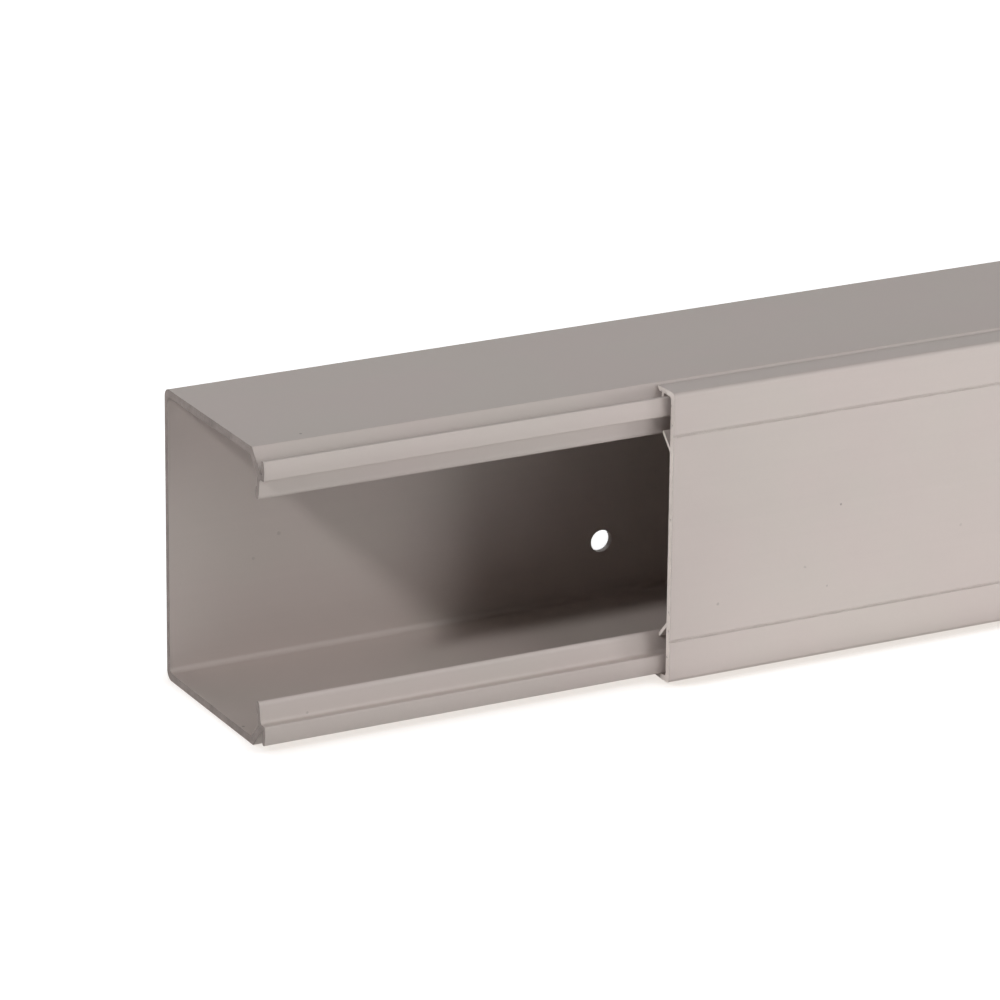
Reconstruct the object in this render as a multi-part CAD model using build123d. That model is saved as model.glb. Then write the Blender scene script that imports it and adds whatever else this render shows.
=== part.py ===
from build123d import *
from math import cos, radians, sin
import os

# Cable trunking for surface fixing: an open channel and its clip-on cover, both extruded.
# X runs along the length, +Y points to the wall, +Z is up. The channel stands on its lower
# side wall, and the origin is the middle of that wall's outer face. Millimetres throughout.

# Stock length and section of the channel
length = 2000
height = 80
side_depth = 52
side_wall = 2.1
back_wall = 1.8
back_corner_radius = 2.5
inner_corner_radius = 1.5
front_corner_radius = 0.4

# Clip lip: a slanted leg that ends in an outward nose and an inward tongue
leg_angle = 48
leg_length = 7.9
groove_floor = 0.4
nose_wall = 1.15
nose_rise = 3.9
nose_lean = 0.3
nose_bulge = 0.35
nose_tip_radius = 0.45
nose_foot_radius = 0.4
web_wall = 1.35
tongue_wall = 1.2
tongue_setback = 2.5
tongue_drop = 5.75
tongue_lean = 0.5
tongue_root_radius = 1
bead_half_width = 0.95
bead_half_height = 1.8

# Fixing holes through the back wall, in two rows
hole_diameter = 6.2
hole_edge = 18
hole_pitch = 250
first_hole = 127.5

# Cover: a face plate with two flanges, each with a barb, and two pressing ribs
cover_length = 2000
cover_offset = 115
cover_wall = 1.9
cover_gap = 1.1
cover_inset = 0.2
cover_corner_radius = 1.2
cover_inner_radius = 0.8
flange_wall = 1.45
flange_taper = 4.2
flange_tip_drop = 0.25
flange_tip_wall = 0.3
barb_gap = 0.7
barb_wall = 1
barb_depth = 1.9
barb_head = 0.4
barb_head_height = 0.6
barb_chamfer = 0.7
barb_tip_radius = 0.2
rib_wall = 1.3
rib_height = 4.1
rib_tip_radius = 0.4
fine_groove_edge = 11.6
fine_groove_width = 0.6
fine_groove_depth = 0.25

# Running clearance between the cover and the lips
slide_clearance = 0.3

# Planes shared by both pieces
mid_height = height / 2
wall_face_y = side_depth / 2
corner_y = -side_depth / 2
left_end_x = -length / 2


def section_point(forward, inward):
    """A point of the upper half section, from its distances to the upper front corner."""
    return (corner_y - forward, height - inward)


def outline_face(points):
    """A flat face in the section plane from (forward, inward) pairs."""
    return make_face(Polyline(*[section_point(*point) for point in points], close=True))


def rounded(face, corners, radius):
    """The face with the vertices nearest to the given (forward, inward) points rounded."""
    chosen = [
        face.vertices().sort_by_distance(Vector(*section_point(*corner)))[0]
        for corner in corners
    ]
    return fillet(chosen, radius)


def both_halves(half):
    """The upper half section joined with its mirror image below mid height."""
    return half + mirror(half, about=Plane.XZ.offset(-mid_height))


def along_length(section, start_x, run):
    """The section, drawn in X and Y for Y and Z, extruded along the trunking."""
    plane = Plane(origin=(start_x, 0, 0), x_dir=(0, 1, 0), z_dir=(1, 0, 0))
    return extrude(plane * section, run)


# Leg of the lip: its outer face starts at the front corner of the side wall
leg_cos = cos(radians(leg_angle))
leg_sin = sin(radians(leg_angle))
leg_end = (leg_length * leg_cos, leg_length * leg_sin)
leg_inner_start = ((side_wall * leg_cos - side_wall) / leg_sin, side_wall)

# Nose: a thin wall that stands on the end of the leg and bulges forward
nose_back_foot = (leg_end[0] + groove_floor, leg_end[1])
nose_back_tip = (nose_back_foot[0] - nose_lean, leg_end[1] - nose_rise)
nose_front_tip = (nose_back_tip[0] + nose_wall, nose_back_tip[1])
nose_front_foot = (nose_back_foot[0] + nose_wall, leg_end[1] + web_wall)
nose_middle = (
    (nose_front_tip[0] + nose_front_foot[0]) / 2 + nose_bulge,
    (nose_front_tip[1] + nose_front_foot[1]) / 2,
)
nose_reach = nose_middle[0]

# Tongue: hangs from the web between leg and nose, and ends in a thicker oval bead
tongue_front_root = (nose_front_foot[0] - tongue_setback, nose_front_foot[1])
tongue_tip = tongue_front_root[1] + tongue_drop
bead_inward = tongue_tip - bead_half_height
tongue_front_end = (tongue_front_root[0] - tongue_lean, bead_inward)
tongue_back_end = (tongue_front_end[0] - tongue_wall, bead_inward)
bead_center = (tongue_front_end[0] - bead_half_width, bead_inward)
tongue_back_u = tongue_front_root[0] - tongue_wall
tongue_back_root = (
    tongue_back_u,
    side_wall + (tongue_back_u - leg_inner_start[0]) * leg_sin / leg_cos,
)


def lip_half():
    """The clip lip at the front of the upper side wall."""
    nose_front = ThreePointArc(
        section_point(*nose_front_tip),
        section_point(*nose_middle),
        section_point(*nose_front_foot),
    )
    around = Polyline(
        *[
            section_point(*point)
            for point in (
                nose_front_foot,
                tongue_front_root,
                tongue_front_end,
                tongue_back_end,
                tongue_back_root,
                leg_inner_start,
                (leg_inner_start[0], 0),
                (0, 0),
                leg_end,
                nose_back_foot,
                nose_back_tip,
                nose_front_tip,
            )
        ]
    )
    lip = make_face(nose_front + around)
    lip = rounded(lip, [nose_front_tip, nose_back_tip], nose_tip_radius)
    lip = rounded(lip, [nose_front_foot], nose_foot_radius)
    lip = rounded(lip, [tongue_front_root], tongue_root_radius)
    lip = rounded(lip, [(0, 0)], front_corner_radius)
    bead = Pos(*section_point(*bead_center)) * Ellipse(bead_half_width, bead_half_height)
    return lip + bead


def channel_section():
    """The open section of the channel: back wall, side walls and clip lips."""
    middle_y = (corner_y + wall_face_y) / 2
    outside = Pos(middle_y, mid_height) * Rectangle(side_depth, height)
    back_corners = outside.vertices().group_by(Axis.X)[-1]
    outside = fillet(back_corners, back_corner_radius)
    inside_front = corner_y - leg_inner_start[0]
    inside_back = wall_face_y - back_wall
    inside = Pos((corner_y + inside_back) / 2, mid_height) * Rectangle(
        inside_back - corner_y, height - 2 * side_wall
    )
    inside = fillet(inside.vertices().group_by(Axis.X)[-1], inner_corner_radius)
    front_strip = Pos((corner_y + inside_front) / 2, mid_height) * Rectangle(
        inside_front - corner_y, height
    )
    return outside - inside - front_strip + both_halves(lip_half())


def fixing_holes():
    """Round cutters through the back wall, two rows along the length."""
    count = int((length - first_hole) // hole_pitch) + 1
    cutter = Rot(X=90) * Cylinder(hole_diameter / 2, 4 * back_wall)
    return [
        Pos(left_end_x + first_hole + number * hole_pitch, wall_face_y, row) * cutter
        for number in range(count)
        for row in (hole_edge, height - hole_edge)
    ]


def trunking_base():
    """The channel that is screwed to the wall."""
    return along_length(channel_section(), left_end_x, length) - fixing_holes()


# Flange of the cover: its rear end is cut parallel to the leg that it lies over
plate_inner = nose_reach + cover_gap
plate_outer = plate_inner + cover_wall
flange_inner = cover_inset + flange_wall
leg_gap_forward = slide_clearance / leg_sin
flange_tip_top = cover_inset + flange_tip_drop
flange_tip_bottom = flange_tip_top + flange_tip_wall
flange_tip_u = flange_tip_bottom * leg_cos / leg_sin + leg_gap_forward
flange_heel_u = flange_inner * leg_cos / leg_sin + leg_gap_forward

# Barb: reaches into the groove behind the nose
barb_front = nose_back_tip[0] - barb_gap - barb_head
barb_back = barb_front - barb_wall
barb_tip = flange_inner + barb_depth

# Rib: leans from the face plate towards the front of the tongue, square to its end
rib_tip_inward = bead_inward
rib_tip_u = tongue_front_end[0] + slide_clearance


def flange_half():
    """The upper flange of the cover with its barb."""
    flange = outline_face(
        [
            (plate_outer, cover_inset),
            (flange_tip_u + flange_taper, cover_inset),
            (flange_tip_u, flange_tip_top),
            (flange_tip_u, flange_tip_bottom),
            (flange_heel_u, flange_inner),
            (plate_outer, flange_inner),
        ]
    )
    barb = outline_face(
        [
            (barb_back, cover_inset + flange_wall / 2),
            (barb_back, barb_tip - barb_chamfer),
            (barb_front - barb_wall / 2, barb_tip),
            (barb_front + barb_head, barb_tip - barb_head_height),
            (barb_front + barb_head, barb_tip - barb_head_height - barb_head / 2),
            (barb_front, barb_tip - barb_head_height - barb_head),
            (barb_front, cover_inset + flange_wall / 2),
        ]
    )
    barb = rounded(barb, [(barb_front - barb_wall / 2, barb_tip)], barb_tip_radius)
    return flange + barb


def rib_half():
    """The slanted rib that steadies the cover against the upper tongue."""
    rib_tip_end = rib_tip_inward + rib_wall
    rib = outline_face(
        [
            (rib_tip_u, rib_tip_inward),
            (plate_inner, rib_tip_inward + rib_height),
            (plate_inner + cover_wall / 2, rib_tip_inward + rib_height),
            (plate_inner + cover_wall / 2, rib_tip_inward + rib_height + rib_wall),
            (plate_inner, rib_tip_inward + rib_height + rib_wall),
            (rib_tip_u, rib_tip_end),
        ]
    )
    return rounded(rib, [(rib_tip_u, rib_tip_inward), (rib_tip_u, rib_tip_end)], rib_tip_radius)


def cover_section():
    """The section of the cover: face plate, flanges, barbs, ribs and fine grooves."""
    plate = outline_face(
        [
            (plate_inner, cover_inset),
            (plate_outer, cover_inset),
            (plate_outer, mid_height),
            (plate_inner, mid_height),
        ]
    )
    half = plate + flange_half()
    half = rounded(half, [(plate_inner, flange_inner)], cover_inner_radius)
    half = rounded(half, [(plate_outer, cover_inset)], cover_corner_radius)
    groove = Pos(*section_point(plate_outer, cover_inset + fine_groove_edge)) * Rectangle(
        2 * fine_groove_depth, fine_groove_width
    )
    return both_halves(half + rib_half() - groove)


def trunking_cover():
    """The clip-on cover, slid along so that the near end of the channel stays open."""
    return along_length(cover_section(), left_end_x + cover_offset, cover_length)


os.makedirs("parts", exist_ok=True)
export_step(trunking_base(), "parts/trunking_base.step")
export_step(trunking_cover(), "parts/trunking_cover.step")
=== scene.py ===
import math
import bmesh
import bpy
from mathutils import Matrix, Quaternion, Vector

# Cable trunking in stone grey rigid PVC: an extruded channel and its clip-on cover
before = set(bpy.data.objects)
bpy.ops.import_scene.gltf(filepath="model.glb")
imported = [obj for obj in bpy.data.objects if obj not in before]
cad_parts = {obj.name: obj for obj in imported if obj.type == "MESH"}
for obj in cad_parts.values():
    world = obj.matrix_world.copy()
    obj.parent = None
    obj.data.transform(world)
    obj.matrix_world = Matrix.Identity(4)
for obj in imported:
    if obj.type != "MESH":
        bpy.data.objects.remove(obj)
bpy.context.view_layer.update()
scene = bpy.context.scene
print("frame loaded:", ", ".join(sorted(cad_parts)))


# A node's output that adds, subtracts, multiplies and divides as a number does
class Socket:
    def __init__(self, graph, output):
        self.graph = graph
        self.output = output

    def math(self, operation, first, second=0.0):
        return self.graph.node("Math", {"operation": operation}, {0: first, 1: second})

    def __add__(self, other):
        return self.math("ADD", self, other)

    def __radd__(self, other):
        return self.math("ADD", other, self)

    def __sub__(self, other):
        return self.math("SUBTRACT", self, other)

    def __rsub__(self, other):
        return self.math("SUBTRACT", other, self)

    def __mul__(self, other):
        return self.math("MULTIPLY", self, other)

    def __rmul__(self, other):
        return self.math("MULTIPLY", other, self)

    def __truediv__(self, other):
        return self.math("DIVIDE", self, other)

    def most(self, other):
        return self.math("MAXIMUM", self, other)

    def size(self):
        return self.math("ABSOLUTE", self)

    # 0 below low, 1 above high, and a soft step between them
    def step(self, low, high):
        return self.graph.node(
            "MapRange",
            {"interpolation_type": "SMOOTHSTEP"},
            {"Value": self, "From Min": low, "From Max": high},
        )


# One shader tree, with one method that makes every kind of node
class Graph:
    def __init__(self, tree):
        self.tree = tree
        tree.nodes.clear()

    def node(self, kind, settings=None, sockets=None, output=0):
        made = self.tree.nodes.new("ShaderNode" + kind)
        for name, value in (settings or {}).items():
            setattr(made, name, value)
        for name, value in (sockets or {}).items():
            if isinstance(value, Socket):
                self.tree.links.new(value.output, made.inputs[name])
            else:
                made.inputs[name].default_value = value
        return Socket(self, made.outputs[output]) if made.outputs else made

    def parts(self, vector):
        return [self.node("SeparateXYZ", {}, {0: vector}, output=axis) for axis in range(3)]

    def mix(self, first, second, factor):
        return self.node("Mix", {"data_type": "RGBA"}, {0: factor, 6: first, 7: second}, output=2)

    def brighten(self, colour, factor):
        plain = colour if isinstance(colour, Socket) else colour[:3]
        return self.node("VectorMath", {"operation": "SCALE"}, {0: plain, "Scale": factor})

    # Noise about zero, with its grain given in cycles per metre along X, Y and Z
    def noise(self, place, cycles, detail=2.0, turn=(0.0, 0.0, 0.0)):
        turned = self.node("Mapping", {}, {"Vector": place, "Rotation": turn, "Scale": cycles})
        found = self.node("TexNoise", {}, {"Vector": turned, "Scale": 1.0, "Detail": detail})
        return found - 0.5

    def distance(self, place, point):
        between = {0: place, 1: point}
        return self.node("VectorMath", {"operation": "DISTANCE"}, between, output="Value")


# Camera: left of the open end and above it, as far off as the straight edges of the picture ask
cameraLook = {
    "place": (-1.6007, -1.2926, 0.5681),
    "bearing": 27.903,  # degrees from +Y towards +X
    "rise": -19.701,
    "roll": -0.598,  # about the line of sight
    "lens": 214.62,  # millimetres, as the sensor
    "sensor": 36,
    "clip": (0.05, 60),  # nearest and farthest metres that it sees
}


def addCamera(look):
    data = bpy.data.cameras.new("camera")
    data.sensor_width = look["sensor"]
    data.lens = look["lens"]
    data.clip_start, data.clip_end = look["clip"]
    camera = bpy.data.objects.new("camera", data)
    scene.collection.objects.link(camera)
    bearing = math.radians(look["bearing"])
    rise = math.radians(look["rise"])
    aim = Vector((
        math.sin(bearing) * math.cos(rise),
        math.cos(bearing) * math.cos(rise),
        math.sin(rise),
    ))
    turn = Quaternion(aim, math.radians(look["roll"])) @ aim.to_track_quat("-Z", "Y")
    camera.rotation_mode = "QUATERNION"
    camera.rotation_quaternion = turn
    camera.location = look["place"]
    scene.camera = camera


addCamera(cameraLook)
print("camera placed")

# Studio lamps, far off and soft: bearing 0 stands in front of the cover, 90 off the open end;
# angles are in degrees, and a strength of 1 makes a white face that looks at the lamp full white
studioLamps = {
    "sideRight": {"bearing": -62, "rise": 4, "spread": 10, "strength": 0.22},
    "frontRight": {"bearing": -30, "rise": 4, "spread": 20, "strength": 0.065},
    "frontLow": {"bearing": -34, "rise": 20, "spread": 22, "strength": 0.146},
    "frontMiddle": {"bearing": -27, "rise": 34, "spread": 18, "strength": 0.046},
    "frontHigh": {"bearing": -56, "rise": 50, "spread": 22, "strength": 0.14},
    "leftHigh": {"bearing": 59.4, "rise": 39.5, "spread": 5, "strength": 0.30},
    "openEnd": {"bearing": 91, "rise": 1, "spread": 5, "strength": 0.26},
    "behind": {"bearing": 178, "rise": 3, "spread": 30, "strength": 0.55},
}


def addLamp(name, lamp):
    data = bpy.data.lights.new(name, "SUN")
    data.energy = math.pi * lamp["strength"]
    data.angle = math.radians(lamp["spread"])
    bearing = math.radians(lamp["bearing"])
    rise = math.radians(lamp["rise"])
    toLamp = Vector((
        -math.sin(bearing) * math.cos(rise),
        -math.cos(bearing) * math.cos(rise),
        math.sin(rise),
    ))
    made = bpy.data.objects.new(name, data)
    scene.collection.objects.link(made)
    made.rotation_mode = "QUATERNION"
    made.rotation_quaternion = (-toLamp).to_track_quat("-Z", "Y")


for lampName, lampValues in studioLamps.items():
    addLamp(lampName, lampValues)

# Soft strips that lie on the table in front, from the cut of the cover to past the far end
tableStrips = {
    "nearStrip": {"x": (-0.885, 1.5), "y": (-0.35, -0.04), "z": 0.0002, "glow": 0.48},
    "farStrip": {"x": (-0.885, 1.5), "y": (-0.70, -0.35), "z": 0.0002, "glow": 2.98},
}


def addStrip(name, strip):
    data = bpy.data.lights.new(name, "AREA")
    data.shape = "RECTANGLE"
    data.size = strip["x"][1] - strip["x"][0]
    data.size_y = strip["y"][1] - strip["y"][0]
    data.energy = math.pi * data.size * data.size_y * strip["glow"]
    made = bpy.data.objects.new(name, data)
    scene.collection.objects.link(made)
    made.location = (sum(strip["x"]) / 2, sum(strip["y"]) / 2, strip["z"])
    made.rotation_euler = (math.pi, 0, 0)  # it shines upwards
    made.visible_camera = False


for stripName, stripValues in tableStrips.items():
    addStrip(stripName, stripValues)

# White room: the camera and reflections see it, and it adds no light while ambient is 0
roomLook = {
    "ambient": 0.0,
    "floorReach": 6.0,  # metres each way from the middle
    "floorDrop": 0.0001,
    "floorAlbedo": 0.8,
    "floorGlow": 0.85,  # keeps the paper white
    "paintedShadowReach": 0.012,  # the painted contact shadow: a soft dark band drawn on the paper where the trunking meets it
    "paintedShadowSamples": 16,
    "paintedShadowColour": (0.80, 0.745, 0.70, 1),
    "paintedShadowAtCover": (0.5, 1.0),  # openness at which the painted shadow is full, and at which it is gone
    "paintedShadowAtLips": (-0.15, 1.47),  # the painted shadow fades sooner here, because the lips stand clear of the paper
    "paintedShadowChange": (-0.889, -0.881),  # from one to the other, along the trunking
}


def seenDirectly(graph):
    camera = graph.node("LightPath", output="Is Camera Ray")
    glossy = graph.node("LightPath", output="Is Glossy Ray")
    through = graph.node("LightPath", output="Is Transmission Ray")
    return camera.most(glossy).most(through)


def addRoom(look):
    world = bpy.data.worlds.new("room")
    world.use_nodes = True
    scene.world = world
    graph = Graph(world.node_tree)
    dim = graph.node("Background", {}, {"Strength": look["ambient"]})
    white = graph.node("Background", {}, {"Color": (1, 1, 1, 1), "Strength": 1.0})
    both = graph.node("MixShader", {}, {0: seenDirectly(graph), 1: dim, 2: white})
    graph.node("OutputWorld", {}, {"Surface": both})


def floorMaterial(look):
    material = bpy.data.materials.new("whitePaper")
    material.use_nodes = True
    graph = Graph(material.node_tree)
    grey = look["floorAlbedo"]
    paper = graph.node("BsdfDiffuse", {}, {"Color": (grey, grey, grey, 1)})
    glow = graph.node("Emission", {}, {"Color": (1, 1, 1, 1), "Strength": look["floorGlow"]})
    lit = graph.node("AddShader", {}, {0: paper, 1: glow})
    # Painted shadow: a darker emission, strongest where ambient occlusion finds the trunking
    # near, stands in for the contact shadow the camera sees on the paper
    paintedShadow = graph.node("Emission", {}, {"Color": look["paintedShadowColour"], "Strength": 1.0})
    samples = {"samples": look["paintedShadowSamples"]}
    reach = {"Distance": look["paintedShadowReach"]}
    openness = graph.node("AmbientOcclusion", samples, reach, output="AO")
    along = graph.parts(graph.node("TexCoord", output="Object"))[0]
    atLips = openness.step(*look["paintedShadowAtLips"]) * (1 - along.step(*look["paintedShadowChange"]))
    clear = openness.step(*look["paintedShadowAtCover"]).most(atLips)
    shown = graph.node("MixShader", {}, {0: clear, 1: paintedShadow, 2: lit})
    both = graph.node("MixShader", {}, {0: seenDirectly(graph), 1: paper, 2: shown})
    graph.node("OutputMaterial", {}, {"Surface": both})
    return material


def addFloor(look):
    sheet = bmesh.new()
    bmesh.ops.create_grid(sheet, x_segments=1, y_segments=1, size=look["floorReach"])
    bmesh.ops.translate(sheet, verts=sheet.verts, vec=(0, 0, -look["floorDrop"]))
    mesh = bpy.data.meshes.new("floor")
    sheet.to_mesh(mesh)
    sheet.free()
    mesh.materials.append(floorMaterial(look))
    floor = bpy.data.objects.new("floor", mesh)
    scene.collection.objects.link(floor)


addRoom(roomLook)
addFloor(roomLook)
scene.view_settings.view_transform = "Standard"
print("room, floor and", len(studioLamps) + len(tableStrips), "lamps made")


# Grain that both pieces share: cycles per metre along X, Y and Z, turns in radians, and the
# values of a noise between which it fades in
grainLook = {
    "lineCycles": (1.5, 620, 620),
    "cloudCycles": (38, 55, 55),
    "warmthCycles": (26, 34, 34),
    "warmthTurn": (0.4, 0.2, 0.7),
    "warmthContrast": 2.4,
    "warmthFade": (0.2, 0.8),
    "grainCycles": (1500, 1900, 1900),
    "rubCycles": (9, 1300, 1300),
    "rubTurn": (0.0, 0.012, 0.02),
    "rubFade": (0.24, 0.3),
    "wearCycles": (160, 420, 420),
    "wearFade": (-0.1, 0.16),
    "edgeFade": (0.01, 0.12),  # how far the softened normal leaves the true one
    "edgeSamples": 4,
    "sawnFade": (0.6, 0.9),  # how far a face looks along the trunking
    "strokeCycles": (1, 2600, 190),
    "strokeTurn": (0.55, 0.0, 0.0),
    "crumbCycles": (900, 1500, 1500),
    "stainCycles": (60, 210, 210),
    "pitCycles": (500, 900, 900),
    "pitFade": (0.17, 0.23),
    "speckRagged": 0.9,  # of its radius
    "speckCore": 0.45,
    "lineRough": 0.10,
    "grainRough": 0.08,
    "cloudRough": 0.06,
    "wearRough": 0.06,
    "rubRough": 0.08,
    "refraction": 1.53,
}


def extrudedPvc(name, look):
    material = bpy.data.materials.new(name)
    material.use_nodes = True
    graph = Graph(material.node_tree)
    place = graph.node("TexCoord", output="Object")
    facing = graph.parts(graph.node("TexCoord", output="Normal"))
    sawn = facing[0].size().step(*grainLook["sawnFade"])

    # Skin from the die: long faint lines, cloudy patches and a fine satin grain
    lines = graph.noise(place, grainLook["lineCycles"], 3.0)
    cloud = graph.noise(place, grainLook["cloudCycles"], 3.0)
    warmth = graph.noise(place, grainLook["warmthCycles"], 2.0, grainLook["warmthTurn"])
    grain = graph.noise(place, grainLook["grainCycles"], 2.0)
    tone = 1 + lines * look["lineTone"] + cloud * look["cloudTone"] + grain * look["grainTone"]
    warm = (warmth * grainLook["warmthContrast"] + 0.5).step(*grainLook["warmthFade"])
    body = graph.mix(look["colour"], look["warmColour"], warm)
    skin = graph.brighten(body, tone)

    # Hairline rubs from handling, nearly along the length
    rubs = graph.noise(place, grainLook["rubCycles"], 1.0, grainLook["rubTurn"])
    rubs = rubs.step(*grainLook["rubFade"])
    skin = graph.mix(skin, look["rubColour"], rubs * look["rubStrength"])

    # Edges: softened, and rubbed paler in places; the same paler mask also finds the cover's
    # grooves, where its strong setting is painted light that lifts their shade
    samples = {"samples": grainLook["edgeSamples"]}
    soft = graph.node("Bevel", samples, {"Radius": look["edgeRadius"]})
    normals = {0: soft, 1: graph.node("NewGeometry", output="Normal")}
    along = graph.node("VectorMath", {"operation": "DOT_PRODUCT"}, normals, output="Value")
    patches = graph.noise(place, grainLook["wearCycles"], 3.0).step(*grainLook["wearFade"])
    wearAndPaintedLight = (1 - along).step(*grainLook["edgeFade"]) * patches
    skin = graph.mix(skin, look["wornAndPaintedLightColour"], wearAndPaintedLight * look["wearAndPaintedLightStrength"])

    # Sawn ends: blade strokes, crumbs, stains and a few dark pits
    strokes = graph.noise(place, grainLook["strokeCycles"], 2.0, grainLook["strokeTurn"])
    crumbs = graph.noise(place, grainLook["crumbCycles"], 3.0)
    stain = graph.noise(place, grainLook["stainCycles"], 2.0)
    pits = graph.noise(place, grainLook["pitCycles"], 2.0).step(*grainLook["pitFade"])
    sawnTone = 1 + strokes * look["strokeTone"] + crumbs * look["crumbTone"]
    cut = graph.brighten(look["sawnColour"], sawnTone + stain * look["stainTone"])
    cut = graph.mix(cut, look["dirtColour"], pits * look["pitStrength"])
    skin = graph.mix(skin, cut, sawn)

    # Single specks of dirt
    specks = 0.0
    for point, radius, depth in look["specks"]:
        ragged = graph.distance(place, point) + grain * (radius * grainLook["speckRagged"])
        specks = (1 - ragged.step(radius * grainLook["speckCore"], radius)) * depth + specks
    skin = graph.mix(skin, look["dirtColour"], specks)

    rough = look["roughness"] + lines * grainLook["lineRough"] + grain * grainLook["grainRough"]
    rough = rough + cloud * grainLook["cloudRough"] - wearAndPaintedLight * grainLook["wearRough"]
    rough = rough + rubs * grainLook["rubRough"] + sawn * look["sawnRoughness"]
    height = lines * look["lineDepth"] + grain * look["grainDepth"]
    height = height + sawn * (strokes + crumbs - pits) * look["strokeDepth"]
    normal = graph.node("Bump", {}, {"Height": height, "Distance": 1.0, "Normal": soft})
    shader = graph.node("BsdfPrincipled", {}, {
        "Base Color": skin,
        "Roughness": rough,
        "IOR": grainLook["refraction"],
        "Normal": normal,
    })
    graph.node("OutputMaterial", {}, {"Surface": shader})
    return material


def dress(node, material):
    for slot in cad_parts[node].material_slots:
        slot.material = material


# The channel's own finish, in linear colours and metres
channelLook = {
    "colour": (0.560, 0.499, 0.463, 1),
    "warmColour": (0.566, 0.494, 0.464, 1),
    "lineTone": 0.030,
    "cloudTone": 0.045,
    "grainTone": 0.030,
    "rubColour": (0.62, 0.57, 0.54, 1),
    "rubStrength": 0.22,
    "edgeRadius": 0.00035,
    "wornAndPaintedLightColour": (0.66, 0.61, 0.57, 1),
    "wearAndPaintedLightStrength": 0.30,
    "sawnColour": (0.285, 0.240, 0.222, 1),
    "strokeTone": 0.30,
    "crumbTone": 0.30,
    "stainTone": 0.90,
    "pitStrength": 0.45,
    "dirtColour": (0.12, 0.10, 0.09, 1),
    "roughness": 0.50,
    "sawnRoughness": 0.28,
    "lineDepth": 0.000012,
    "grainDepth": 0.000007,
    "strokeDepth": 0.00004,
    "specks": [  # place, radius and depth of colour
        ((-0.9847, -0.0223, 0.0800), 0.00055, 0.55),
        ((-0.9685, 0.0242, 0.0356), 0.00070, 0.22),
        ((-0.9759, 0.0242, 0.0299), 0.00060, 0.18),
        ((-0.9868, -0.0300, 0.0080), 0.00055, 0.25),
        ((-0.9990, -0.0181, 0.0021), 0.00050, 0.60),
    ],
}
dress("trunking_base", extrudedPvc("channelPvc", channelLook))
print("channel dressed")

# The cover's finish: the same plastic, whitened along its fresh saw cut, with paler edges and
# grooves that are partly rubbed wear and partly painted light against the grooves' shade
coverLook = dict(
    channelLook,
    sawnColour=(0.86, 0.78, 0.73, 1),
    strokeTone=0.12,
    crumbTone=0.18,
    stainTone=0.25,
    pitStrength=0.35,
    # painted light: this strong paler colour lightens the cover's grooves and edges beyond their
    # wear
    wornAndPaintedLightColour=(0.78, 0.72, 0.68, 1),
    wearAndPaintedLightStrength=0.65,
    cloudTone=0.055,
    specks=[
        ((-0.8708, -0.0360, 0.0200), 0.00050, 0.30),
        ((-0.8343, -0.0360, 0.0419), 0.00045, 0.55),
        ((-0.8447, -0.0360, 0.0260), 0.00050, 0.25),
        ((-0.8378, -0.0360, 0.0197), 0.00045, 0.32),
        ((-0.7970, -0.0360, 0.0302), 0.00050, 0.18),
        ((-0.8850, -0.0340, 0.0760), 0.00060, 0.50),
        ((-0.8850, -0.0340, 0.0729), 0.00055, 0.42),
        ((-0.8850, -0.0275, 0.0776), 0.00075, 0.30),
        ((-0.8850, -0.0315, 0.0785), 0.00070, 0.26),
    ],
)
dress("trunking_cover", extrudedPvc("coverPvc", coverLook))
print("cover dressed")
